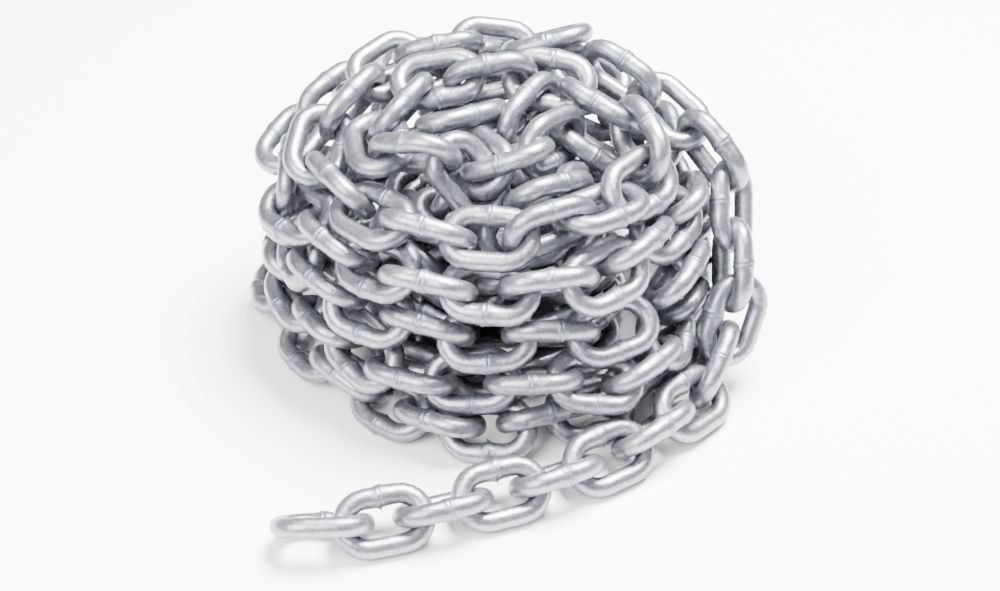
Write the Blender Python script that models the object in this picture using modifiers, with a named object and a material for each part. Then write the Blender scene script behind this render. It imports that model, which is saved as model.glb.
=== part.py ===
"""A heap of short-link steel chain: one long chain laid in turns on the floor, its end trailing in front.

Metres, Z up, the floor at Z = 0 and the heap's middle on the Z axis. The chain's end trails towards -Y.
Routes are written in wire diameters, because every size of such a chain follows from its wire.
"""

import math

import bmesh
import bpy
import numpy as np
from mathutils import Matrix, Vector

WIRE = 0.008            # diameter of the links' wire
INNER_LENGTH = 3.0      # inside length of a link, in wires: how far apart hooked links lie pulled tight
OUTER_WIDTH = 3.4       # outside width of a link, in wires
CROWN = (OUTER_WIDTH - 1) / 2                      # radius of the wire's middle line round an end
HALF_STRAIGHT = (INNER_LENGTH + 1) / 2 - CROWN     # half the straight part of a side
WIRE_SIDES = 6
MODEL_RADIUS = 0.525    # corner radius of the six-sided wire, which gives about the round wire's section

TOUCHING = 1.085        # least distance between the middle lines of links that lie on each other
HOOKED = 0.905          # the same where two links of one fused run hook together, so that they join
HOOKED_APART = 1.085    # and where two links that are pieces of their own hook together
ON_FLOOR = 0.53         # least height of a middle line above the floor
CLEAR = 0.56            # least distance of a middle line from a dome, on either side

SHELL = (7.5, 10.4)     # radius and height of the dome that parts the links in sight from the hidden ones
HIDDEN_SHELL = (7.5, 10.56)     # the same for the hidden ones, which come up close to those on top
CORE = (3.9, 7.0)       # the same of the solid middle
DOME_POWER = 2.6        # 2 is an ellipse, and more is squarer
CORE_STEPS = 32

# Distance from the axis and height, in wires, and number of links of each hidden turn, from the floor up.
HIDDEN = [(5.9, 1.3, 12), (5.8, 3.6, 12), (5.3, 5.9, 10), (3.8, 8.7, 6), (1.0, 9.1, 1)]
HIDDEN_TILT = 40        # how far up the faces of the hidden links look, in degrees
HIDDEN_TOP = 3          # from this turn on they are one piece

# Azimuth in degrees, distance from the heap's axis and height, in wires, one row for each link in front.
# A fourth number turns the link further about its length.
BOTTOM = [
    (-13, 11.2, 1.9), (-28, 11.2, 1.6), (-45, 10.8, 1.4), (-61, 10.4, 1.3), (-75, 10.2, 1.8),
    (-91, 10.6, 1.4), (-104, 10.0, 1.9), (-119, 9.9, 1.1), (-139, 9.5, 1.6), (-156, 10.2, 1.5),
    (-171, 10.7, 1.7, 40), (-185, 11.6, 1.8, 40),
]
SECOND = [
    (-16, 10.3, 4.3), (-33, 10.7, 3.8), (-48, 11.4, 3.3), (-62, 11.1, 3.9), (-78, 10.0, 4.1),
    (-95, 9.6, 3.7), (-113, 10.1, 3.0), (-132, 9.7, 3.9), (-149, 9.6, 3.6), (-165, 10.2, 3.6),
    (-181, 10.6, 3.9),
]
THIRD = [
    (-9, 10.3, 6.6), (-29, 10.4, 6.8, 35), (-51, 10.3, 5.6), (-71, 9.3, 6.3), (-92, 9.5, 5.9),
    (-112, 8.8, 6.3), (-130, 9.6, 6.2), (-147, 9.6, 6.9), (-163, 10.1, 7.0, -25), (-179, 10.4, 7.2),
]
FOURTH = [
    (20, 9.4, 9.5), (4, 9.6, 8.7), (-8, 10.4, 8.5), (-22, 9.7, 8.9), (-40, 9.2, 9.4), (-55, 9.9, 8.9),
    (-72, 9.1, 9.2), (-90, 9.0, 8.9), (-109, 9.2, 9.0), (-127, 8.9, 9.1), (-146, 8.9, 8.9),
    (-165, 10.1, 8.9, 35), (-180, 10.4, 9.2, 50), (-195, 10.8, 9.7, 55), (-212, 9.7, 10.8, 45),
]
FOURTH_END = [(52, 9.0, 10.8)]
BEHIND = (12, 12, 9, 5)     # links round the back between these
COIL_TILT = 42              # how far up the faces of the coil's links look, in degrees

# X, Y and height in wires, then the azimuth and elevation a link's face looks to, and its roll from there.
# From the free end: along the floor, up the heap's right side, round the top and into its middle.
MAIN = [
    (-8.0, -17.2, 1.2, -90, 45, 90), (-5.2, -17.0, 1.2, -95, 45, 0), (-2.5, -16.0, 1.2, -92, 45, 90),
    (0.5, -15.1, 1.2, -85, 45, 0), (3.3, -13.9, 1.2, -80, 45, 90), (6.0, -12.5, 1.3, -70, 45, 0),
    (8.2, -10.5, 1.4, -60, 45, 90), (10.2, -8.2, 1.5, -60, 45, 0), (11.4, -6.0, 1.9, -70, 45, 85),
    (12.1, -5.2, 3.7, -90, 45, 40), (12.0, -3.3, 5.9, -90, 45, 140), (12.0, -1.5, 8.2, -90, 45, 50),
    (11.3, 0.4, 10.7, -90, 45, 100), (8.8, 2.4, 12.0, -90, 45, 15), (6.5, 3.9, 13.1, -90, 45, 115),
    (5.2, 5.9, 11.7, -90, 45, 10), (3.1, 6.3, 13.4, -90, 45, 90), (0.2, 5.4, 13.6, -90, 45, 0),
    (-2.6, 5.8, 13.7, -90, 45, 90), (-5.2, 4.7, 13.2, -90, 45, 0), (-7.0, 1.7, 12.8, -90, 45, 90),
    (-8.7, -0.7, 11.6, -90, 45, 0), (-7.5, -3.3, 10.9, -90, 45, 90), (-5.8, -5.6, 10.8, -95, 45, 0),
    (-3.0, -6.9, 10.8, 255, 45, 90), (0.0, -7.5, 10.9, 270, 45, 0), (2.9, -7.4, 11.0, 287, 45, 60),
    (5.2, -5.5, 11.4, 305, 50, 120), (7.2, -3.9, 11.3, 300, 50, 180), (7.5, -1.4, 12.1, -90, 45, 120),
    (5.6, 0.5, 12.9, -90, 45, 57), (3.1, 2.3, 13.7, -90, 45, 0), (0.1, 2.0, 13.6, -90, 45, 90),
    (-2.7, 2.5, 13.6, -90, 45, 0), (-4.5, 0.5, 13.0, -90, 45, 60), (-5.6, -1.9, 12.3, -90, 45, 0),
    (-3.8, -3.3, 12.8, -90, 45, 90), (-1.1, -4.2, 11.6, -90, 45, 0), (2.9, -4.3, 12.0, -90, 45, 90),
    (5.4, -2.4, 10.7, -90, 45, 0), (5.3, 0.0, 11.2, -90, 45, 90), (3.4, -1.3, 12.3, -90, 45, 0),
    (1.2, -3.4, 12.3, -90, 45, 90), (-0.9, -2.1, 12.7, -90, 45, 0), (-1.8, 0.1, 12.9, -90, 45, 90),
    (1.6, 0.5, 12.6, -90, 45, 0), (-0.2, 1.2, 11.7, -90, 45, 90),
]

# The runs of the main strand, each up to the link before this one.
TAIL_END = 9
CLIMB_END = 17
TOP_OUTER_END = 29


def facing(azimuth, elevation):
    """The unit direction that looks to an azimuth and an elevation, in degrees."""
    a, e = np.radians(azimuth), np.radians(elevation)
    return np.stack([np.cos(a) * np.cos(e), np.sin(a) * np.cos(e), np.sin(e)], -1)


def behind(start, end, links):
    """The links between two in front, evenly spaced round the back: in early, and up late."""
    rows = []
    for k in range(1, links + 1):
        done = k / (links + 1)
        rows.append((start[0] + (end[0] - start[0]) * done, start[1] + (end[1] - start[1]) * done ** 0.5,
                     start[2] + (end[2] - start[2]) * done ** 2, 0))
    return rows


def coil_rows():
    """Azimuth, distance, height and further turn of each link of the coil, and its run."""
    rows, names = [], []
    levels = [
        ("bottom", BOTTOM), ("second", SECOND), ("third", THIRD), ("fourth", FOURTH), (None, FOURTH_END),
    ]
    for turn, (name, level) in enumerate(levels):
        front = [(row[0] - 360 * turn, row[1], row[2], row[3] if len(row) > 3 else 0) for row in level]
        if rows:
            back = behind(rows[-1], front[0], BEHIND[turn - 1])
            rows += back
            names += [names[-1].replace("front", "back")] * len(back)
        rows += front
        names += [f"{name}_turn_front" if name else names[-1]] * len(front)
    return np.array(rows), names


def unit(vectors):
    return vectors / np.linalg.norm(vectors, axis=-1, keepdims=True)


def turned(centres, face, roll):
    """The turn of each link: its length along the strand, its face to the given way, then rolled."""
    along = unit(np.gradient(centres, axis=0))
    face = unit(face - (face * along).sum(1, keepdims=True) * along)
    across = np.cross(face, along)
    c, s = np.cos(np.radians(roll))[:, None], np.sin(np.radians(roll))[:, None]
    side = c * across + s * face
    return np.stack([along, side, np.cross(along, side)], -1)


def link_corners():
    """The corners of a link's middle line. Each edge touches the true line at its middle."""
    corners = []
    for end in (1, -1):
        for degrees, half_turn in ((-75, 15), (-30, 30), (30, 30), (75, 15)):
            a = math.radians(degrees)
            far = CROWN / math.cos(math.radians(half_turn))
            corners.append((end * (HALF_STRAIGHT + far * math.cos(a)), end * far * math.sin(a), 0.0))
    return np.array(corners)


def nearest(p1, d1, p2, d2):
    """Where the segments p1 + s d1 and p2 + t d2 come nearest: s and t between 0 and 1."""
    between = p1 - p2
    a = (d1 * d1).sum(-1)
    b = (d1 * d2).sum(-1)
    c = (d1 * between).sum(-1)
    e = (d2 * d2).sum(-1)
    f = (d2 * between).sum(-1)
    square = a * e - b * b
    s = np.where(square > 1e-9, np.clip((b * f - c * e) / np.maximum(square, 1e-9), 0, 1), 0.5)
    t = (b * s + f) / e
    s = np.where(t < 0, np.clip(-c / a, 0, 1), np.where(t > 1, np.clip((b - c) / a, 0, 1), s))
    return s, np.clip(t, 0, 1)


def outside(dome, points):
    """How far points lie outside a dome that stands on the floor, and the way out."""
    radius, height = dome
    flat = np.maximum(np.hypot(points[..., 0], points[..., 1]), 1e-6)
    u = flat / radius
    w = np.maximum(points[..., 2], 1e-6) / height
    level = (u ** DOME_POWER + w ** DOME_POWER) ** (1 / DOME_POWER)
    du = (u / level) ** (DOME_POWER - 1) / radius
    dw = (w / level) ** (DOME_POWER - 1) / height
    steep = np.hypot(du, dw)
    way = np.stack([du * points[..., 0] / flat, du * points[..., 1] / flat, dw], -1)
    return (level - 1) / steep, way / steep[..., None]


def spun(turns, by):
    """Each turn moved on by a small turning vector."""
    angle = np.linalg.norm(by, axis=1)
    axis = by / np.maximum(angle, 1e-12)[:, None]
    skew = np.zeros((len(by), 3, 3))
    skew[:, 0, 1], skew[:, 0, 2] = -axis[:, 2], axis[:, 1]
    skew[:, 1, 0], skew[:, 1, 2] = axis[:, 2], -axis[:, 0]
    skew[:, 2, 0], skew[:, 2, 1] = -axis[:, 1], axis[:, 0]
    s, c = np.sin(angle)[:, None, None], np.cos(angle)[:, None, None]
    return (np.eye(3) + s * skew + (1 - c) * (skew @ skew)) @ turns


class Shifts:
    """Small moves and turns gathered for each link before they are made."""

    def __init__(self, count):
        self.move = np.zeros((count, 3))
        self.turn = np.zeros((count, 3))
        self.hits = np.zeros(count)

    def add(self, links, push, torque):
        np.add.at(self.move, links, push)
        np.add.at(self.turn, links, torque / LINK_INERTIA)
        np.add.at(self.hits, links, 1)


LINK_INERTIA = 1.3 ** 2


def part_links(centres, turns, world, edges, pairs, wanted, shifts):
    """Shifts that part links nearer than wanted, and that bring hooked links to touch."""
    one, two = pairs
    p1, d1 = world[one][:, :, None], edges[one][:, :, None]
    p2, d2 = world[two][:, None], edges[two][:, None]
    s, t = nearest(p1, d1, p2, d2)
    q1, q2 = p1 + s[..., None] * d1, p2 + t[..., None] * d2
    way = q1 - q2
    far = np.linalg.norm(way, axis=-1)
    way = way / np.maximum(far, 1e-9)[..., None]
    lack = np.where(wanted > 0, wanted, TOUCHING)[:, None, None] - far
    active = lack > 0
    hooked = np.nonzero(wanted > 0)[0]
    closest = far[hooked].reshape(len(hooked), -1).argmin(1)
    active[hooked, closest // far.shape[2], closest % far.shape[2]] = True
    k, i, j = np.nonzero(active)
    a, b, push = one[k], two[k], way[k, i, j]
    turn_a = np.cross(q1[k, i, j] - centres[a], push)
    turn_b = np.cross(q2[k, i, j] - centres[b], push)
    weight = 2 + ((turn_a ** 2).sum(1) + (turn_b ** 2).sum(1)) / LINK_INERTIA
    size = (lack[k, i, j] / weight)[:, None]
    shifts.add(a, size * push, size * turn_a)
    shifts.add(b, -size * push, -size * turn_b)


def lift_points(centres, points, lack, way, shifts):
    """Shifts that bring points of the links out of the floor or off a dome by what they lack."""
    n, k = np.nonzero(lack > 0)
    push = way[n, k]
    turn = np.cross(points[n, k] - centres[n], push)
    size = (lack[n, k] / (1 + (turn ** 2).sum(1) / LINK_INERTIA))[:, None]
    shifts.add(n, size * push, size * turn)


def make_room(centres, turns, hooks, within, without, rounds):
    """Moves whole links little by little until they clear each other and the floor, between two domes."""
    corners = link_corners()
    home = centres.copy()
    up = np.array([0.0, 0.0, 1.0])
    for step in range(rounds):
        if step % 8 == 0:
            apart = np.linalg.norm(centres[:, None] - centres[None], axis=2)
            pairs = np.nonzero(np.triu(apart < 5.6, 1))
            wanted = np.array([hooks.get(pair, 0.0) for pair in zip(*pairs)])
        world = centres[:, None] + np.einsum("nij,kj->nki", turns, corners)
        edges = np.roll(world, -1, axis=1) - world
        shifts = Shifts(len(centres))
        part_links(centres, turns, world, edges, pairs, wanted, shifts)
        points = np.concatenate([world, world + edges / 2], axis=1)
        lift_points(centres, points, ON_FLOOR - points[..., 2], np.broadcast_to(up, points.shape), shifts)
        if within:
            clear, way = outside(within, points)
            lift_points(centres, points, CLEAR + clear, -way, shifts)
        clear, way = outside(without, points)
        lift_points(centres, points, CLEAR - clear, way, shifts)
        share = (1.5 / np.maximum(shifts.hits, 1.5))[:, None]
        centres = centres + shifts.move * share
        turns = spun(turns, shifts.turn * share)
        centres += (home - centres) * 0.02 * max(0.0, 1 - 2 * step / rounds)
    return centres, turns


def coil_places(rows, tilt):
    """Centres and turns of links that go round the axis, every second one on edge."""
    a = np.radians(rows[:, 0])
    centres = np.stack([rows[:, 1] * np.cos(a), rows[:, 1] * np.sin(a), rows[:, 2]], -1)
    roll = np.where(np.arange(len(rows)) % 2 == 0, 90.0, 0.0) + rows[:, 3]
    return centres, turned(centres, facing(rows[:, 0], np.full(len(rows), tilt)), roll)


def hook_distances(names, free_end):
    """The wanted distance of each two hooked links. The link before free_end ends its strand."""
    hooks = {}
    for i in range(len(names) - 1):
        if i + 1 != free_end:
            hooks[(i, i + 1)] = HOOKED if names[i] == names[i + 1] else HOOKED_APART
    return hooks


def hidden_layout():
    """Centres, turns and run names of the links between the core and those in sight."""
    rows, names = [], []
    azimuth = 0.0
    for level, (distance, height, links) in enumerate(HIDDEN):
        next_distance, next_height, _ = HIDDEN[min(level + 1, len(HIDDEN) - 1)]
        for k in range(links):
            late = (k / links) ** 2
            rows.append((azimuth, distance + (next_distance - distance) * late,
                         height + (next_height - height) * late, 0))
            azimuth -= 360 / links
        names += [f"hidden_turn_{level + 1}" if level < HIDDEN_TOP else "hidden_top"] * links
    centres, turns = coil_places(np.array(rows), HIDDEN_TILT)
    centres, turns = make_room(centres, turns, hook_distances(names, None), HIDDEN_SHELL, CORE, 400)
    return centres, turns, names


def layout():
    """Centres and turns of the links in sight, in wires, and the name of the run that each belongs to."""
    main = np.array(MAIN, float)
    main_turns = turned(main[:, :3], facing(main[:, 3], main[:, 4]), main[:, 5])
    names = [f"tail_link_{i + 1}" for i in range(TAIL_END)]
    names += ["climbing_run"] * (CLIMB_END - TAIL_END)
    names += ["top_outer_turn"] * (TOP_OUTER_END - CLIMB_END)
    names += ["top_inner_turn"] * (len(MAIN) - TOP_OUTER_END)
    rows, coil_names = coil_rows()
    coil, coil_turns = coil_places(rows, COIL_TILT)
    names += coil_names
    centres = np.vstack([main[:, :3], coil])
    turns = np.concatenate([main_turns, coil_turns])
    centres, turns = make_room(centres, turns, hook_distances(names, len(MAIN)), None, SHELL, 700)
    return centres, turns, names


def material(name, colour, roughness, metallic):
    made = bpy.data.materials.new(name)
    made.use_nodes = True
    shader = made.node_tree.nodes["Principled BSDF"]
    shader.inputs["Base Color"].default_value = (*colour, 1.0)
    shader.inputs["Roughness"].default_value = roughness
    shader.inputs["Metallic"].default_value = metallic
    made.diffuse_color = (*colour, 1.0)
    return made


def link_mesh():
    """One link lying in its own XY plane, in metres: a six-sided section carried round the middle line."""
    bm = bmesh.new()
    corners = [Vector(corner) for corner in link_corners()]
    loops = []
    for k, corner in enumerate(corners):
        before = (corner - corners[k - 1]).normalized()
        after = (corners[(k + 1) % len(corners)] - corner).normalized()
        along = (before + after).normalized()
        outward = along.cross(Vector((0, 0, 1)))
        mitre = 1 / before.dot(along)
        frame = Matrix((outward * mitre, Vector((0, 0, 1)), outward.cross(Vector((0, 0, 1))))).transposed()
        place = Matrix.Translation(corner) @ frame.to_4x4()
        made = bmesh.ops.create_circle(bm, segments=WIRE_SIDES, radius=MODEL_RADIUS, matrix=place)
        ring = {vert for vert in made["verts"]}
        loops.append([edge for edge in bm.edges if edge.verts[0] in ring and edge.verts[1] in ring])
    for k, loop in enumerate(loops):
        bmesh.ops.bridge_loops(bm, edges=loop + loops[(k + 1) % len(loops)])
    bmesh.ops.recalc_face_normals(bm, faces=bm.faces)
    bmesh.ops.scale(bm, vec=(WIRE, WIRE, WIRE), verts=bm.verts)
    mesh = bpy.data.meshes.new("link")
    bm.to_mesh(mesh)
    bm.free()
    return mesh


def links_object(name, link, places):
    """One object of several links that don't touch each other."""
    bm = bmesh.new()
    for place in places:
        known = len(bm.verts)
        bm.from_mesh(link)
        bm.verts.ensure_lookup_table()
        bmesh.ops.transform(bm, matrix=place, verts=bm.verts[known:])
    mesh = bpy.data.meshes.new(name)
    bm.to_mesh(mesh)
    bm.free()
    mesh.shade_smooth()
    return bpy.data.objects.new(name, mesh)


def run_object(name, link, places, parts, helpers):
    """A run of hooked links as one solid: every second link in one mesh, joined with the others."""
    run = links_object(name, link, places[::2])
    parts.objects.link(run)
    if len(places) > 1:
        others = links_object(name + "_others", link, places[1::2])
        others.hide_render = True
        others.display_type = "WIRE"
        helpers.objects.link(others)
        join = run.modifiers.new("join", "BOOLEAN")
        join.operation = "UNION"
        join.solver = "EXACT"
        join.object = others
    return run


def core_object():
    """The innermost of the heap as one plain dome, turned about the axis, its underside on the floor."""
    bm = bmesh.new()
    points = [Vector((0, 0, 0))]
    radius, height = CORE
    for k in range(11):
        a = math.radians(90 * k / 10)
        x = radius * max(math.cos(a), 0.0) ** (2 / DOME_POWER)
        z = height * max(math.sin(a), 0.0) ** (2 / DOME_POWER)
        points.append(Vector((x, 0, z)))
    points[-1].x = 0.0
    verts = [bm.verts.new(point * WIRE) for point in points]
    for first, second in zip(verts, verts[1:]):
        bm.edges.new((first, second))
    mesh = bpy.data.meshes.new("core")
    bm.to_mesh(mesh)
    bm.free()
    core = bpy.data.objects.new("core", mesh)
    screw = core.modifiers.new("turn", "SCREW")
    screw.angle = math.radians(360)
    screw.steps = CORE_STEPS
    screw.render_steps = CORE_STEPS
    screw.use_merge_vertices = True
    screw.merge_threshold = 0.0001
    screw.use_smooth_shade = True
    screw.use_normal_flip = True
    return core


def main():
    for obj in list(bpy.data.objects):
        bpy.data.objects.remove(obj)
    parts = bpy.data.collections.new("heap_of_steel_chain")
    helpers = bpy.data.collections.new("helpers")
    bpy.context.scene.collection.children.link(parts)
    bpy.context.scene.collection.children.link(helpers)
    link = link_mesh()
    runs = {}
    for centres, turns, names in (layout(), hidden_layout()):
        for centre, turn, name in zip(centres, turns, names):
            place = Matrix.Translation(Vector(centre) * WIRE) @ Matrix(turn.tolist()).to_4x4()
            runs.setdefault(name, []).append(place)
    for name, places in runs.items():
        run = run_object(name, link, places, parts, helpers)
        run.data.materials.append(material(name, (0.62, 0.63, 0.66), 0.42, 0.9))
    core = core_object()
    parts.objects.link(core)
    core.data.materials.append(material("core", (0.42, 0.43, 0.46), 0.6, 0.9))


main()
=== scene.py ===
"""The heap of steel chain as whole round links with their welds, in galvanised steel, on a pale floor.

The links lie where the CAD part has them: the same rows and the same making of room. Metres, Z up.
"""
import math

import bpy
import numpy as np
from mathutils import Matrix, Vector


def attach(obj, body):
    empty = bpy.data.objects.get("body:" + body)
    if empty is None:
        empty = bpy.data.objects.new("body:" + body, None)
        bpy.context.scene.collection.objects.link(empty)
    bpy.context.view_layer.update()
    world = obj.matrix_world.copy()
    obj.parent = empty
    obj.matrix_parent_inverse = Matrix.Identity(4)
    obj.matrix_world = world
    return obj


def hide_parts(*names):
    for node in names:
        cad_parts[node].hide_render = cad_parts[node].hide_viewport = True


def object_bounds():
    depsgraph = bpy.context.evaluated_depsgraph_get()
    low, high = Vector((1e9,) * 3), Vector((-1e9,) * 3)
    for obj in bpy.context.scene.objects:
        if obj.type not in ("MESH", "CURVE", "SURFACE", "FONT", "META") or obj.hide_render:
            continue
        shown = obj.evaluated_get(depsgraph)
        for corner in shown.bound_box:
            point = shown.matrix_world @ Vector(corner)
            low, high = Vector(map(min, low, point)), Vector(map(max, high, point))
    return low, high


PICTURE = (1000, 591)       # the photograph's size, in pixels
HEAP_PIXEL = (491, 318)     # where the heap's middle on the floor is in it
FOCAL = 1930.0              # in pixels
CAMERA_ELEVATION = 38.0
CAMERA_DISTANCE = 105.0     # in wires

# The steel's mottling, as places on a ramp and their colours, from the darkest to the palest.
STEEL = [(0.32, (0.195, 0.195, 0.215)), (0.50, (0.255, 0.255, 0.278)), (0.68, (0.345, 0.345, 0.368))]
# What the mottling is multiplied by: each link's own tone, small dark specks, and welds.
LINK_TONES = [(0.0, (0.80, 0.81, 0.83)), (1.0, (1.0, 1.0, 1.0))]
DARK_SPECKS = [(0.36, (0.72, 0.73, 0.75)), (0.58, (1.0, 1.0, 1.0))]
SPECKS_SHARE = 0.5
WELD_TONES = [(0.0, (1.0, 1.0, 1.0)), (1.0, (0.78, 0.80, 0.84))]
METALLIC = 0.88
# Noises of the steel: how many bumps a metre, levels of detail, and how strong the finer ones are.
MOTTLE = (560.0, 5.0, 0.7)
SPECKS = (1400.0, 3.0, 0.7)
GLOSS = (520.0, 4.0, 0.65)
COARSE_BUMPS = (600.0, 4.0, 0.65)
FINE_BUMPS = (2200.0, 2.0, 0.6)
FINE_BUMPS_SHARE = 0.3
BUMP_STRENGTH = 0.6
BUMP_HEIGHT = 0.0003        # in metres
ROUGHNESS = 0.17            # the least, what the noise adds at most, and what a weld adds
ROUGHNESS_RANGE = 0.32
WELD_ROUGHNESS = 0.10

FLOOR_HALF = 3.0            # half the floor's width, in metres
FLOOR_TONES = [(0.0, (0.88, 0.88, 0.885)), (1.0, (0.91, 0.91, 0.91))]
FLOOR_NOISE = 6.0           # bumps a metre
FLOOR_ROUGHNESS = 0.85
ROOM_TONES = [(0.10, (0.16, 0.16, 0.18)), (0.55, (0.97, 0.97, 1.0))]    # from near the horizon up
# Place and width in metres, and power in watts, of each light. All look at the heap's lower middle.
KEY_LIGHT = ((0.30, 0.20, 1.10), 0.55, 150)
FILL_LIGHT = ((-0.6, -0.7, 0.9), 0.8, 50)
LIT_POINT = (0, 0, 0.04)

# Steps round a crown, along the plain side and along the welded side of a link, and sides of its wire.
SEEN_DETAIL = (11, 5, 15, 24)
HIDDEN_DETAIL = (8, 3, 7, 14)
INSIDE_BOX = 0.9999         # how near the CAD part's box the round wire may come, as a share

# Welds, in wires. Two ridges stand beside the middle of each.
WELD_REACH = 0.40           # how far along the wire
WELD_SWELL = 0.035          # how much thicker the wire is
WELD_GRAIN = 0.014          # how uneven
WELD_STEP = 0.016           # how far the wire's two ends miss each other
STEP_REACH = 0.05
RIDGE_PLACE = 0.11
RIDGE_REACH = 0.06
RIDGE_HEIGHT = 0.075
WELD_CROWDING = 1.6         # draws the rings of the welded side to its middle
WELD_STRENGTHS = (0.7, 1.25)            # least and most
FAR = 9.0                   # stands for a place that isn't on the welded side
UNEVENNESS = (0.2, 1.0)     # least and most share of the ridges and the grain at a point
CHANCE_SPIKES = (0.0, 0.07)             # heights of the spikes of links that have no row below
SPIKE_BESIDE = 0.3          # share of a spike's height on the corner beside it
SPIKE_AFTER = 0.25          # and on the next ring
SEED = 7
# Links in sight are numbered from the free end on, and then up the turns.
WELD_ON_OTHER_SIDE = {0, 31}
# Spikes of zinc on a weld: the angle about the wire, 180 into the eye, and the height in wires.
SPIKES = {
    1: [(180, 0.30), (0, 0.10)], 3: [(180, 0.34), (45, 0.08)], 5: [(180, 0.14), (90, 0.08)],
    7: [(157.5, 0.10)], 52: [(180, 0.24), (67.5, 0.16), (112.5, 0.12)], 50: [(45, 0.10)], 53: [(90, 0.05)],
}

WIRE = 0.008            # diameter of the links' wire
INNER_LENGTH = 3.0      # inside length of a link, in wires: how far apart hooked links lie pulled tight
OUTER_WIDTH = 3.4       # outside width of a link, in wires
CROWN = (OUTER_WIDTH - 1) / 2                      # radius of the wire's middle line round an end
HALF_STRAIGHT = (INNER_LENGTH + 1) / 2 - CROWN     # half the straight part of a side

TOUCHING = 1.085        # least distance between the middle lines of links that lie on each other
HOOKED = 0.905          # the same where two links of one fused run hook together, so that they join
HOOKED_APART = 1.085    # and where two links that are pieces of their own hook together
ON_FLOOR = 0.53         # least height of a middle line above the floor
CLEAR = 0.56            # least distance of a middle line from a dome, on either side

ROUNDS = 700            # steps of making room for the links in sight, and for the hidden ones
HIDDEN_ROUNDS = 400
LOOK_EVERY = 8          # steps from one look for neighbours to the next
NEIGHBOURS = 5.6        # most distance of two middles, in wires, at which links can touch
EASE = 1.5              # holds back a link that several others push
HOMING = 0.02           # how strongly a link is drawn back to its row at first
LINK_INERTIA = 1.3 ** 2     # how hard a link is to turn, as against move

SHELL = (7.5, 10.4)     # radius and height of the dome that parts the links in sight from the hidden ones
HIDDEN_SHELL = (7.5, 10.56)     # the same for the hidden ones, which come up close to those on top
CORE = (3.9, 7.0)       # the same of the solid middle
DOME_POWER = 2.6        # 2 is an ellipse, and more is squarer

# Distance from the axis and height, in wires, and number of links of each hidden turn, from the floor up.
HIDDEN = [(5.9, 1.3, 12), (5.8, 3.6, 12), (5.3, 5.9, 10), (3.8, 8.7, 6), (1.0, 9.1, 1)]
HIDDEN_TILT = 40        # how far up the faces of the hidden links look, in degrees
HIDDEN_TOP = 3          # from this turn on they are one piece

# Azimuth in degrees, distance from the heap's axis and height, in wires, one row for each link in front.
# A fourth number turns the link further about its length.
BOTTOM = [
    (-13, 11.2, 1.9), (-28, 11.2, 1.6), (-45, 10.8, 1.4), (-61, 10.4, 1.3), (-75, 10.2, 1.8),
    (-91, 10.6, 1.4), (-104, 10.0, 1.9), (-119, 9.9, 1.1), (-139, 9.5, 1.6), (-156, 10.2, 1.5),
    (-171, 10.7, 1.7, 40), (-185, 11.6, 1.8, 40),
]
SECOND = [
    (-16, 10.3, 4.3), (-33, 10.7, 3.8), (-48, 11.4, 3.3), (-62, 11.1, 3.9), (-78, 10.0, 4.1),
    (-95, 9.6, 3.7), (-113, 10.1, 3.0), (-132, 9.7, 3.9), (-149, 9.6, 3.6), (-165, 10.2, 3.6),
    (-181, 10.6, 3.9),
]
THIRD = [
    (-9, 10.3, 6.6), (-29, 10.4, 6.8, 35), (-51, 10.3, 5.6), (-71, 9.3, 6.3), (-92, 9.5, 5.9),
    (-112, 8.8, 6.3), (-130, 9.6, 6.2), (-147, 9.6, 6.9), (-163, 10.1, 7.0, -25), (-179, 10.4, 7.2),
]
FOURTH = [
    (20, 9.4, 9.5), (4, 9.6, 8.7), (-8, 10.4, 8.5), (-22, 9.7, 8.9), (-40, 9.2, 9.4), (-55, 9.9, 8.9),
    (-72, 9.1, 9.2), (-90, 9.0, 8.9), (-109, 9.2, 9.0), (-127, 8.9, 9.1), (-146, 8.9, 8.9),
    (-165, 10.1, 8.9, 35), (-180, 10.4, 9.2, 50), (-195, 10.8, 9.7, 55), (-212, 9.7, 10.8, 45),
]
FOURTH_END = [(52, 9.0, 10.8)]
BEHIND = (12, 12, 9, 5)     # links round the back between these
COIL_TILT = 42              # how far up the faces of the coil's links look, in degrees

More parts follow.
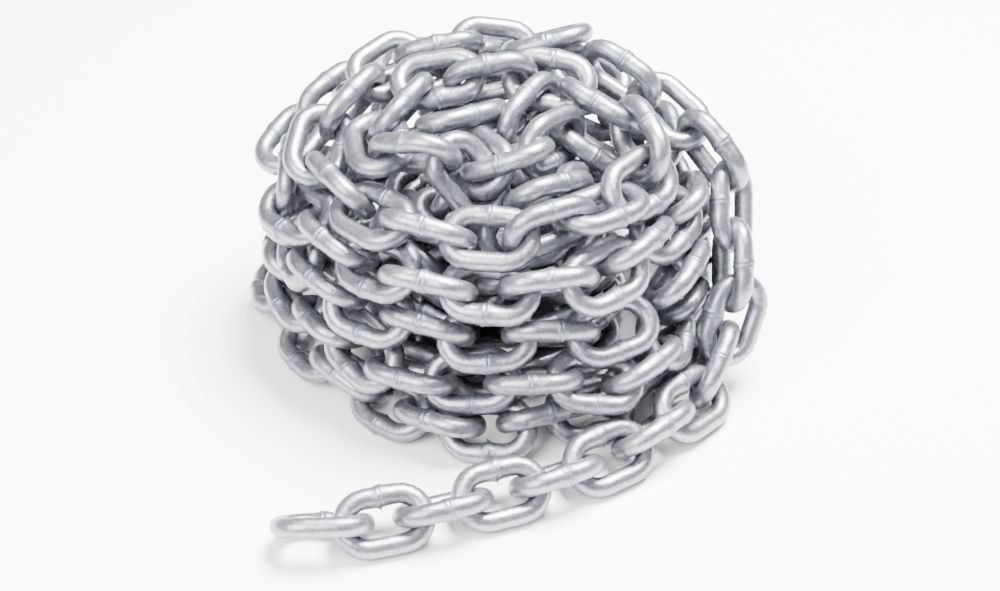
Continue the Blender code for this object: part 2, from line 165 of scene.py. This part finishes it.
# X, Y and height in wires, then the azimuth and elevation a link's face looks to, and its roll from there.
# From the free end: along the floor, up the heap's right side, round the top and into its middle.
MAIN = [
    (-8.0, -17.2, 1.2, -90, 45, 90), (-5.2, -17.0, 1.2, -95, 45, 0), (-2.5, -16.0, 1.2, -92, 45, 90),
    (0.5, -15.1, 1.2, -85, 45, 0), (3.3, -13.9, 1.2, -80, 45, 90), (6.0, -12.5, 1.3, -70, 45, 0),
    (8.2, -10.5, 1.4, -60, 45, 90), (10.2, -8.2, 1.5, -60, 45, 0), (11.4, -6.0, 1.9, -70, 45, 85),
    (12.1, -5.2, 3.7, -90, 45, 40), (12.0, -3.3, 5.9, -90, 45, 140), (12.0, -1.5, 8.2, -90, 45, 50),
    (11.3, 0.4, 10.7, -90, 45, 100), (8.8, 2.4, 12.0, -90, 45, 15), (6.5, 3.9, 13.1, -90, 45, 115),
    (5.2, 5.9, 11.7, -90, 45, 10), (3.1, 6.3, 13.4, -90, 45, 90), (0.2, 5.4, 13.6, -90, 45, 0),
    (-2.6, 5.8, 13.7, -90, 45, 90), (-5.2, 4.7, 13.2, -90, 45, 0), (-7.0, 1.7, 12.8, -90, 45, 90),
    (-8.7, -0.7, 11.6, -90, 45, 0), (-7.5, -3.3, 10.9, -90, 45, 90), (-5.8, -5.6, 10.8, -95, 45, 0),
    (-3.0, -6.9, 10.8, 255, 45, 90), (0.0, -7.5, 10.9, 270, 45, 0), (2.9, -7.4, 11.0, 287, 45, 60),
    (5.2, -5.5, 11.4, 305, 50, 120), (7.2, -3.9, 11.3, 300, 50, 180), (7.5, -1.4, 12.1, -90, 45, 120),
    (5.6, 0.5, 12.9, -90, 45, 57), (3.1, 2.3, 13.7, -90, 45, 0), (0.1, 2.0, 13.6, -90, 45, 90),
    (-2.7, 2.5, 13.6, -90, 45, 0), (-4.5, 0.5, 13.0, -90, 45, 60), (-5.6, -1.9, 12.3, -90, 45, 0),
    (-3.8, -3.3, 12.8, -90, 45, 90), (-1.1, -4.2, 11.6, -90, 45, 0), (2.9, -4.3, 12.0, -90, 45, 90),
    (5.4, -2.4, 10.7, -90, 45, 0), (5.3, 0.0, 11.2, -90, 45, 90), (3.4, -1.3, 12.3, -90, 45, 0),
    (1.2, -3.4, 12.3, -90, 45, 90), (-0.9, -2.1, 12.7, -90, 45, 0), (-1.8, 0.1, 12.9, -90, 45, 90),
    (1.6, 0.5, 12.6, -90, 45, 0), (-0.2, 1.2, 11.7, -90, 45, 90),
]

# The runs of the main strand, each up to the link before this one.
TAIL_END = 9
CLIMB_END = 17
TOP_OUTER_END = 29


def facing(azimuth, elevation):
    """The unit direction that looks to an azimuth and an elevation, in degrees."""
    a, e = np.radians(azimuth), np.radians(elevation)
    return np.stack([np.cos(a) * np.cos(e), np.sin(a) * np.cos(e), np.sin(e)], -1)


def behind(start, end, links):
    """The links between two in front, evenly spaced round the back: in early, and up late."""
    rows = []
    for k in range(1, links + 1):
        done = k / (links + 1)
        rows.append((start[0] + (end[0] - start[0]) * done, start[1] + (end[1] - start[1]) * done ** 0.5,
                     start[2] + (end[2] - start[2]) * done ** 2, 0))
    return rows


def coil_rows():
    """Azimuth, distance, height and further turn of each link of the coil, and its run."""
    rows, names = [], []
    levels = [
        ("bottom", BOTTOM), ("second", SECOND), ("third", THIRD), ("fourth", FOURTH), (None, FOURTH_END),
    ]
    for turn, (name, level) in enumerate(levels):
        front = [(row[0] - 360 * turn, row[1], row[2], row[3] if len(row) > 3 else 0) for row in level]
        if rows:
            back = behind(rows[-1], front[0], BEHIND[turn - 1])
            rows += back
            names += [names[-1].replace("front", "back")] * len(back)
        rows += front
        names += [f"{name}_turn_front" if name else names[-1]] * len(front)
    return np.array(rows), names


def unit(vectors):
    return vectors / np.linalg.norm(vectors, axis=-1, keepdims=True)


def turned(centres, face, roll):
    """The turn of each link: its length along the strand, its face to the given way, then rolled."""
    along = unit(np.gradient(centres, axis=0))
    face = unit(face - (face * along).sum(1, keepdims=True) * along)
    across = np.cross(face, along)
    c, s = np.cos(np.radians(roll))[:, None], np.sin(np.radians(roll))[:, None]
    side = c * across + s * face
    return np.stack([along, side, np.cross(along, side)], -1)


def link_corners():
    """The corners of a link's middle line. Each edge touches the true line at its middle."""
    corners = []
    for end in (1, -1):
        for degrees, half_turn in ((-75, 15), (-30, 30), (30, 30), (75, 15)):
            a = math.radians(degrees)
            far = CROWN / math.cos(math.radians(half_turn))
            corners.append((end * (HALF_STRAIGHT + far * math.cos(a)), end * far * math.sin(a), 0.0))
    return np.array(corners)


def nearest(p1, d1, p2, d2):
    """Where the segments p1 + s d1 and p2 + t d2 come nearest: s and t between 0 and 1."""
    between = p1 - p2
    a = (d1 * d1).sum(-1)
    b = (d1 * d2).sum(-1)
    c = (d1 * between).sum(-1)
    e = (d2 * d2).sum(-1)
    f = (d2 * between).sum(-1)
    square = a * e - b * b
    s = np.where(square > 1e-9, np.clip((b * f - c * e) / np.maximum(square, 1e-9), 0, 1), 0.5)
    t = (b * s + f) / e
    s = np.where(t < 0, np.clip(-c / a, 0, 1), np.where(t > 1, np.clip((b - c) / a, 0, 1), s))
    return s, np.clip(t, 0, 1)


def outside(dome, points):
    """How far points lie outside a dome that stands on the floor, and the way out."""
    radius, height = dome
    flat = np.maximum(np.hypot(points[..., 0], points[..., 1]), 1e-6)
    u = flat / radius
    w = np.maximum(points[..., 2], 1e-6) / height
    level = (u ** DOME_POWER + w ** DOME_POWER) ** (1 / DOME_POWER)
    du = (u / level) ** (DOME_POWER - 1) / radius
    dw = (w / level) ** (DOME_POWER - 1) / height
    steep = np.hypot(du, dw)
    way = np.stack([du * points[..., 0] / flat, du * points[..., 1] / flat, dw], -1)
    return (level - 1) / steep, way / steep[..., None]


def spun(turns, by):
    """Each turn moved on by a small turning vector."""
    angle = np.linalg.norm(by, axis=1)
    axis = by / np.maximum(angle, 1e-12)[:, None]
    skew = np.zeros((len(by), 3, 3))
    skew[:, 0, 1], skew[:, 0, 2] = -axis[:, 2], axis[:, 1]
    skew[:, 1, 0], skew[:, 1, 2] = axis[:, 2], -axis[:, 0]
    skew[:, 2, 0], skew[:, 2, 1] = -axis[:, 1], axis[:, 0]
    s, c = np.sin(angle)[:, None, None], np.cos(angle)[:, None, None]
    return (np.eye(3) + s * skew + (1 - c) * (skew @ skew)) @ turns


class Shifts:
    """Small moves and turns gathered for each link before they are made."""

    def __init__(self, count):
        self.move = np.zeros((count, 3))
        self.turn = np.zeros((count, 3))
        self.hits = np.zeros(count)

    def add(self, links, push, torque):
        np.add.at(self.move, links, push)
        np.add.at(self.turn, links, torque / LINK_INERTIA)
        np.add.at(self.hits, links, 1)


def part_links(centres, turns, world, edges, pairs, wanted, shifts):
    """Shifts that part links nearer than wanted, and that bring hooked links to touch."""
    one, two = pairs
    p1, d1 = world[one][:, :, None], edges[one][:, :, None]
    p2, d2 = world[two][:, None], edges[two][:, None]
    s, t = nearest(p1, d1, p2, d2)
    q1, q2 = p1 + s[..., None] * d1, p2 + t[..., None] * d2
    way = q1 - q2
    far = np.linalg.norm(way, axis=-1)
    way = way / np.maximum(far, 1e-9)[..., None]
    lack = np.where(wanted > 0, wanted, TOUCHING)[:, None, None] - far
    active = lack > 0
    hooked = np.nonzero(wanted > 0)[0]
    closest = far[hooked].reshape(len(hooked), -1).argmin(1)
    active[hooked, closest // far.shape[2], closest % far.shape[2]] = True
    k, i, j = np.nonzero(active)
    a, b, push = one[k], two[k], way[k, i, j]
    turn_a = np.cross(q1[k, i, j] - centres[a], push)
    turn_b = np.cross(q2[k, i, j] - centres[b], push)
    weight = 2 + ((turn_a ** 2).sum(1) + (turn_b ** 2).sum(1)) / LINK_INERTIA
    size = (lack[k, i, j] / weight)[:, None]
    shifts.add(a, size * push, size * turn_a)
    shifts.add(b, -size * push, -size * turn_b)


def lift_points(centres, points, lack, way, shifts):
    """Shifts that bring points of the links out of the floor or off a dome by what they lack."""
    n, k = np.nonzero(lack > 0)
    push = way[n, k]
    turn = np.cross(points[n, k] - centres[n], push)
    size = (lack[n, k] / (1 + (turn ** 2).sum(1) / LINK_INERTIA))[:, None]
    shifts.add(n, size * push, size * turn)


def make_room(centres, turns, hooks, within, without, rounds):
    """Moves whole links little by little until they clear each other and the floor, between two domes."""
    corners = link_corners()
    home = centres.copy()
    up = np.array([0.0, 0.0, 1.0])
    for step in range(rounds):
        if step % LOOK_EVERY == 0:
            apart = np.linalg.norm(centres[:, None] - centres[None], axis=2)
            pairs = np.nonzero(np.triu(apart < NEIGHBOURS, 1))
            wanted = np.array([hooks.get(pair, 0.0) for pair in zip(*pairs)])
        world = centres[:, None] + np.einsum("nij,kj->nki", turns, corners)
        edges = np.roll(world, -1, axis=1) - world
        shifts = Shifts(len(centres))
        part_links(centres, turns, world, edges, pairs, wanted, shifts)
        points = np.concatenate([world, world + edges / 2], axis=1)
        lift_points(centres, points, ON_FLOOR - points[..., 2], np.broadcast_to(up, points.shape), shifts)
        if within:
            clear, way = outside(within, points)
            lift_points(centres, points, CLEAR + clear, -way, shifts)
        clear, way = outside(without, points)
        lift_points(centres, points, CLEAR - clear, way, shifts)
        share = (EASE / np.maximum(shifts.hits, EASE))[:, None]
        centres = centres + shifts.move * share
        turns = spun(turns, shifts.turn * share)
        centres += (home - centres) * HOMING * max(0.0, 1 - 2 * step / rounds)
    return centres, turns


def coil_places(rows, tilt):
    """Centres and turns of links that go round the axis, every second one on edge."""
    a = np.radians(rows[:, 0])
    centres = np.stack([rows[:, 1] * np.cos(a), rows[:, 1] * np.sin(a), rows[:, 2]], -1)
    roll = np.where(np.arange(len(rows)) % 2 == 0, 90.0, 0.0) + rows[:, 3]
    return centres, turned(centres, facing(rows[:, 0], np.full(len(rows), tilt)), roll)


def hook_distances(names, free_end):
    """The wanted distance of each two hooked links. The link before free_end ends its strand."""
    hooks = {}
    for i in range(len(names) - 1):
        if i + 1 != free_end:
            hooks[(i, i + 1)] = HOOKED if names[i] == names[i + 1] else HOOKED_APART
    return hooks


def hidden_layout():
    """Centres, turns and run names of the links between the core and those in sight."""
    rows, names = [], []
    azimuth = 0.0
    for level, (distance, height, links) in enumerate(HIDDEN):
        next_distance, next_height, _ = HIDDEN[min(level + 1, len(HIDDEN) - 1)]
        for k in range(links):
            late = (k / links) ** 2
            rows.append((azimuth, distance + (next_distance - distance) * late,
                         height + (next_height - height) * late, 0))
            azimuth -= 360 / links
        names += [f"hidden_turn_{level + 1}" if level < HIDDEN_TOP else "hidden_top"] * links
    centres, turns = coil_places(np.array(rows), HIDDEN_TILT)
    hooks = hook_distances(names, None)
    centres, turns = make_room(centres, turns, hooks, HIDDEN_SHELL, CORE, HIDDEN_ROUNDS)
    return centres, turns, names


def layout():
    """Centres and turns of the links in sight, in wires, and the name of the run that each belongs to."""
    main = np.array(MAIN, float)
    main_turns = turned(main[:, :3], facing(main[:, 3], main[:, 4]), main[:, 5])
    names = [f"tail_link_{i + 1}" for i in range(TAIL_END)]
    names += ["climbing_run"] * (CLIMB_END - TAIL_END)
    names += ["top_outer_turn"] * (TOP_OUTER_END - CLIMB_END)
    names += ["top_inner_turn"] * (len(MAIN) - TOP_OUTER_END)
    rows, coil_names = coil_rows()
    coil, coil_turns = coil_places(rows, COIL_TILT)
    names += coil_names
    centres = np.vstack([main[:, :3], coil])
    turns = np.concatenate([main_turns, coil_turns])
    hooks = hook_distances(names, len(MAIN))
    centres, turns = make_room(centres, turns, hooks, None, SHELL, ROUNDS)
    return centres, turns, names


def middle_line(crown_steps, side_steps, weld_steps):
    """The middle line of a link in its own plane, its outward ways, and the place along the welded side."""
    points, outs, places = [], [], []
    for end in (1, -1):
        for k in range(crown_steps + 1):
            a = math.pi * (k / crown_steps - 0.5)
            points.append((end * (HALF_STRAIGHT + CROWN * math.cos(a)), end * CROWN * math.sin(a)))
            outs.append((end * math.cos(a), end * math.sin(a)))
            places.append(FAR)
        steps = weld_steps if end > 0 else side_steps
        spread = np.linspace(end, -end, steps + 2)[1:-1]
        crowded = WELD_CROWDING if end > 0 else 1.0
        for x in HALF_STRAIGHT * np.sign(spread) * np.abs(spread) ** crowded:
            points.append((x, end * CROWN))
            outs.append((0.0, float(end)))
            places.append(x if end > 0 else FAR)
    return np.array(points), np.array(outs), np.array(places)


def link_points(line, sides, weld, spikes, draw):
    """The points of one link, in wires, ring by ring, and how much each belongs to the weld."""
    points, outs, places = line
    around = np.arange(sides) * 2 * math.pi / sides
    near = weld * np.exp(-(places / WELD_REACH) ** 2)
    ridge = weld * np.exp(-((np.abs(places) - RIDGE_PLACE) / RIDGE_REACH) ** 2)
    rough = draw.uniform(*UNEVENNESS, (len(points), sides))
    radius = 0.5 + (WELD_SWELL * near)[:, None] + (RIDGE_HEIGHT * ridge)[:, None] * rough
    radius = radius + (WELD_GRAIN * near)[:, None] * rough
    step = WELD_STEP * near * np.tanh(places / STEP_REACH)
    row = int(np.argmin(np.abs(places)))
    for degrees, height in spikes:
        k = round(degrees / 360 * sides) % sides
        radius[row, k] += height
        radius[row, (k + 1) % sides] += height * SPIKE_BESIDE
        radius[row + 1, k] += height * SPIKE_AFTER
    made = np.zeros((len(points), sides, 3))
    outward = radius * np.cos(around) + step[:, None]
    made[..., :2] = points[:, None] + outs[:, None] * outward[..., None]
    made[..., 2] = radius * np.sin(around)
    return made.reshape(-1, 3), np.repeat(near, sides)


def ring_faces(rings, sides):
    """The faces of a closed tube of rings."""
    i, j = np.meshgrid(np.arange(rings), np.arange(sides), indexing="ij")
    i, j = i.ravel(), j.ravel()
    after, beside = (i + 1) % rings, (j + 1) % sides
    return np.stack([i * sides + j, after * sides + j, after * sides + beside, i * sides + beside], -1)


def links_piece(name, numbers, centres, turns, line, sides, draw):
    """One mesh of whole round links, in metres."""
    faces = ring_faces(len(line[0]), sides)
    low, high = np.array(cad_box) * INSIDE_BOX
    verts, loops, masks, tones = [], [], [], []
    for count, (number, centre, turn) in enumerate(zip(numbers, centres, turns)):
        chance = [(draw.integers(sides) * 360 / sides, draw.uniform(*CHANCE_SPIKES))]
        weld = draw.uniform(*WELD_STRENGTHS)
        points, mask = link_points(line, sides, weld, SPIKES.get(number, chance), draw)
        if number in WELD_ON_OTHER_SIDE:
            points[:, :2] *= -1
        verts.append(np.clip((centre + points @ turn.T) * WIRE, low, high))
        loops.append(faces + count * len(points))
        masks.append(mask)
        tones.append(np.full(len(points), draw.random()))
    mesh = bpy.data.meshes.new(name)
    mesh.from_pydata(np.vstack(verts).tolist(), [], np.vstack(loops).tolist())
    mesh.attributes.new("weld", "FLOAT", "POINT").data.foreach_set("value", np.concatenate(masks))
    mesh.attributes.new("tone", "FLOAT", "POINT").data.foreach_set("value", np.concatenate(tones))
    mesh.shade_smooth()
    piece = bpy.data.objects.new(name, mesh)
    bpy.context.scene.collection.objects.link(piece)
    return piece


def colour_ramp(tree, value, stops):
    """The colour that a value picks from a ramp."""
    node = tree.nodes.new("ShaderNodeValToRGB")
    while len(node.color_ramp.elements) < len(stops):
        node.color_ramp.elements.new(0.5)
    for element, (at, colour) in zip(node.color_ramp.elements, stops):
        element.position = at
        element.color = (*colour, 1.0)
    tree.links.new(value, node.inputs["Fac"])
    return node.outputs["Color"]


def steel():
    """Hot-dip galvanised steel: grey, satin and mottled, with a fine grain and darker, rougher welds."""
    made = bpy.data.materials.new("galvanised_steel")
    made.use_nodes = True
    tree = made.node_tree
    nodes, links = tree.nodes, tree.links
    shader = nodes["Principled BSDF"]
    shader.inputs["Metallic"].default_value = METALLIC
    place = nodes.new("ShaderNodeTexCoord").outputs["Object"]

    def noise(scale, detail, roughness):
        node = nodes.new("ShaderNodeTexNoise")
        node.inputs["Scale"].default_value = scale
        node.inputs["Detail"].default_value = detail
        node.inputs["Roughness"].default_value = roughness
        links.new(place, node.inputs["Vector"])
        return node.outputs["Fac"]

    def multiplied(share, one, two):
        node = nodes.new("ShaderNodeMix")
        node.data_type = "RGBA"
        node.blend_type = "MULTIPLY"
        node.inputs["Factor"].default_value = share
        links.new(one, node.inputs[6])
        links.new(two, node.inputs[7])
        return node.outputs[2]

    def maths(kind, one, two):
        node = nodes.new("ShaderNodeMath")
        node.operation = kind
        for k, value in enumerate((one, two)):
            if isinstance(value, float):
                node.inputs[k].default_value = value
            else:
                links.new(value, node.inputs[k])
        return node.outputs[0]

    def attribute(name):
        node = nodes.new("ShaderNodeAttribute")
        node.attribute_name = name
        return node.outputs["Fac"]

    colour = colour_ramp(tree, noise(*MOTTLE), STEEL)
    colour = multiplied(1.0, colour, colour_ramp(tree, attribute("tone"), LINK_TONES))
    colour = multiplied(SPECKS_SHARE, colour, colour_ramp(tree, noise(*SPECKS), DARK_SPECKS))
    colour = multiplied(1.0, colour, colour_ramp(tree, attribute("weld"), WELD_TONES))
    links.new(colour, shader.inputs["Base Color"])
    rough = maths("ADD", maths("MULTIPLY", noise(*GLOSS), ROUGHNESS_RANGE), ROUGHNESS)
    rough = maths("ADD", rough, maths("MULTIPLY", attribute("weld"), WELD_ROUGHNESS))
    links.new(rough, shader.inputs["Roughness"])
    bump = nodes.new("ShaderNodeBump")
    bump.inputs["Strength"].default_value = BUMP_STRENGTH
    bump.inputs["Distance"].default_value = BUMP_HEIGHT
    fine = maths("MULTIPLY", noise(*FINE_BUMPS), FINE_BUMPS_SHARE)
    height = maths("ADD", noise(*COARSE_BUMPS), fine)
    links.new(height, bump.inputs["Height"])
    links.new(bump.outputs["Normal"], shader.inputs["Normal"])
    return made


def floor():
    """A wide pale floor."""
    mesh = bpy.data.meshes.new("floor")
    half = FLOOR_HALF
    corners = [(-half, -half, 0), (half, -half, 0), (half, half, 0), (-half, half, 0)]
    mesh.from_pydata(corners, [], [(0, 1, 2, 3)])
    made = bpy.data.objects.new("floor", mesh)
    bpy.context.scene.collection.objects.link(made)
    paper = bpy.data.materials.new("floor")
    paper.use_nodes = True
    tree = paper.node_tree
    shader = tree.nodes["Principled BSDF"]
    shader.inputs["Roughness"].default_value = FLOOR_ROUGHNESS
    noise = tree.nodes.new("ShaderNodeTexNoise")
    noise.inputs["Scale"].default_value = FLOOR_NOISE
    colour = colour_ramp(tree, noise.outputs["Fac"], FLOOR_TONES)
    tree.links.new(colour, shader.inputs["Base Color"])
    mesh.materials.append(paper)


def area_light(name, place, size, power):
    light = bpy.data.lights.new(name, "AREA")
    light.shape = "SQUARE"
    light.size = size
    light.energy = power
    made = bpy.data.objects.new(name, light)
    bpy.context.scene.collection.objects.link(made)
    made.location = place
    made.rotation_euler = (Vector(LIT_POINT) - Vector(place)).to_track_quat("-Z", "Y").to_euler()


def studio():
    """A pale room, and soft light from above: most from behind on the right, some from the left in front."""
    world = bpy.data.worlds.new("studio")
    bpy.context.scene.world = world
    world.use_nodes = True
    tree = world.node_tree
    split = tree.nodes.new("ShaderNodeSeparateXYZ")
    tree.links.new(tree.nodes.new("ShaderNodeTexCoord").outputs["Generated"], split.inputs[0])
    colour = colour_ramp(tree, split.outputs["Z"], ROOM_TONES)
    tree.links.new(colour, tree.nodes["Background"].inputs["Color"])
    area_light("key", *KEY_LIGHT)
    area_light("fill", *FILL_LIGHT)


def camera():
    """The photograph's camera: its picture is taken as 1000 x 591."""
    elevation = math.radians(CAMERA_ELEVATION)
    forward = Vector((0, math.cos(elevation), -math.sin(elevation)))
    up = Vector((0, math.sin(elevation), math.cos(elevation)))
    right = Vector((1, 0, 0))
    aside = (PICTURE[0] / 2 - HEAP_PIXEL[0]) * CAMERA_DISTANCE / FOCAL
    raised = (HEAP_PIXEL[1] - PICTURE[1] / 2) * CAMERA_DISTANCE / FOCAL
    place = (right * aside + up * raised - forward * CAMERA_DISTANCE) * WIRE
    lens = bpy.data.cameras.new("camera")
    lens.sensor_width = 36
    lens.lens = FOCAL / PICTURE[0] * lens.sensor_width
    made = bpy.data.objects.new("camera", lens)
    bpy.context.scene.collection.objects.link(made)
    made.matrix_world = Matrix.Translation(place) @ Matrix((right, up, -forward)).transposed().to_4x4()
    bpy.context.scene.camera = made


def dress(piece, material, node):
    piece.data.materials.append(material)
    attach(piece, "root")
    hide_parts(node)


def main():
    galvanised = steel()
    draw = np.random.default_rng(SEED)
    for (centres, turns, names), detail in ((layout(), SEEN_DETAIL), (hidden_layout(), HIDDEN_DETAIL)):
        *steps, sides = detail
        line = middle_line(*steps)
        names = np.array(names)
        for name in dict.fromkeys(names.tolist()):
            own = np.nonzero(names == name)[0]
            numbers = own.tolist() if detail is SEEN_DETAIL else [None] * len(own)
            piece = links_piece(name + "_links", numbers, centres[own], turns[own], line, sides, draw)
            dress(piece, galvanised, name)
    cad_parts["core"].material_slots[0].material = galvanised
    floor()
    studio()
    camera()


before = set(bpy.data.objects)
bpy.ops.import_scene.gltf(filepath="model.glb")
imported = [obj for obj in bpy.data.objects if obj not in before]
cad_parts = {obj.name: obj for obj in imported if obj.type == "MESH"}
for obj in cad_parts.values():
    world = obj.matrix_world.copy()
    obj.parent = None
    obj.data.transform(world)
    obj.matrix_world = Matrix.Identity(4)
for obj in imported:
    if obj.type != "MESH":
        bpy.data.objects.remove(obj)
cad_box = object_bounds()
main()
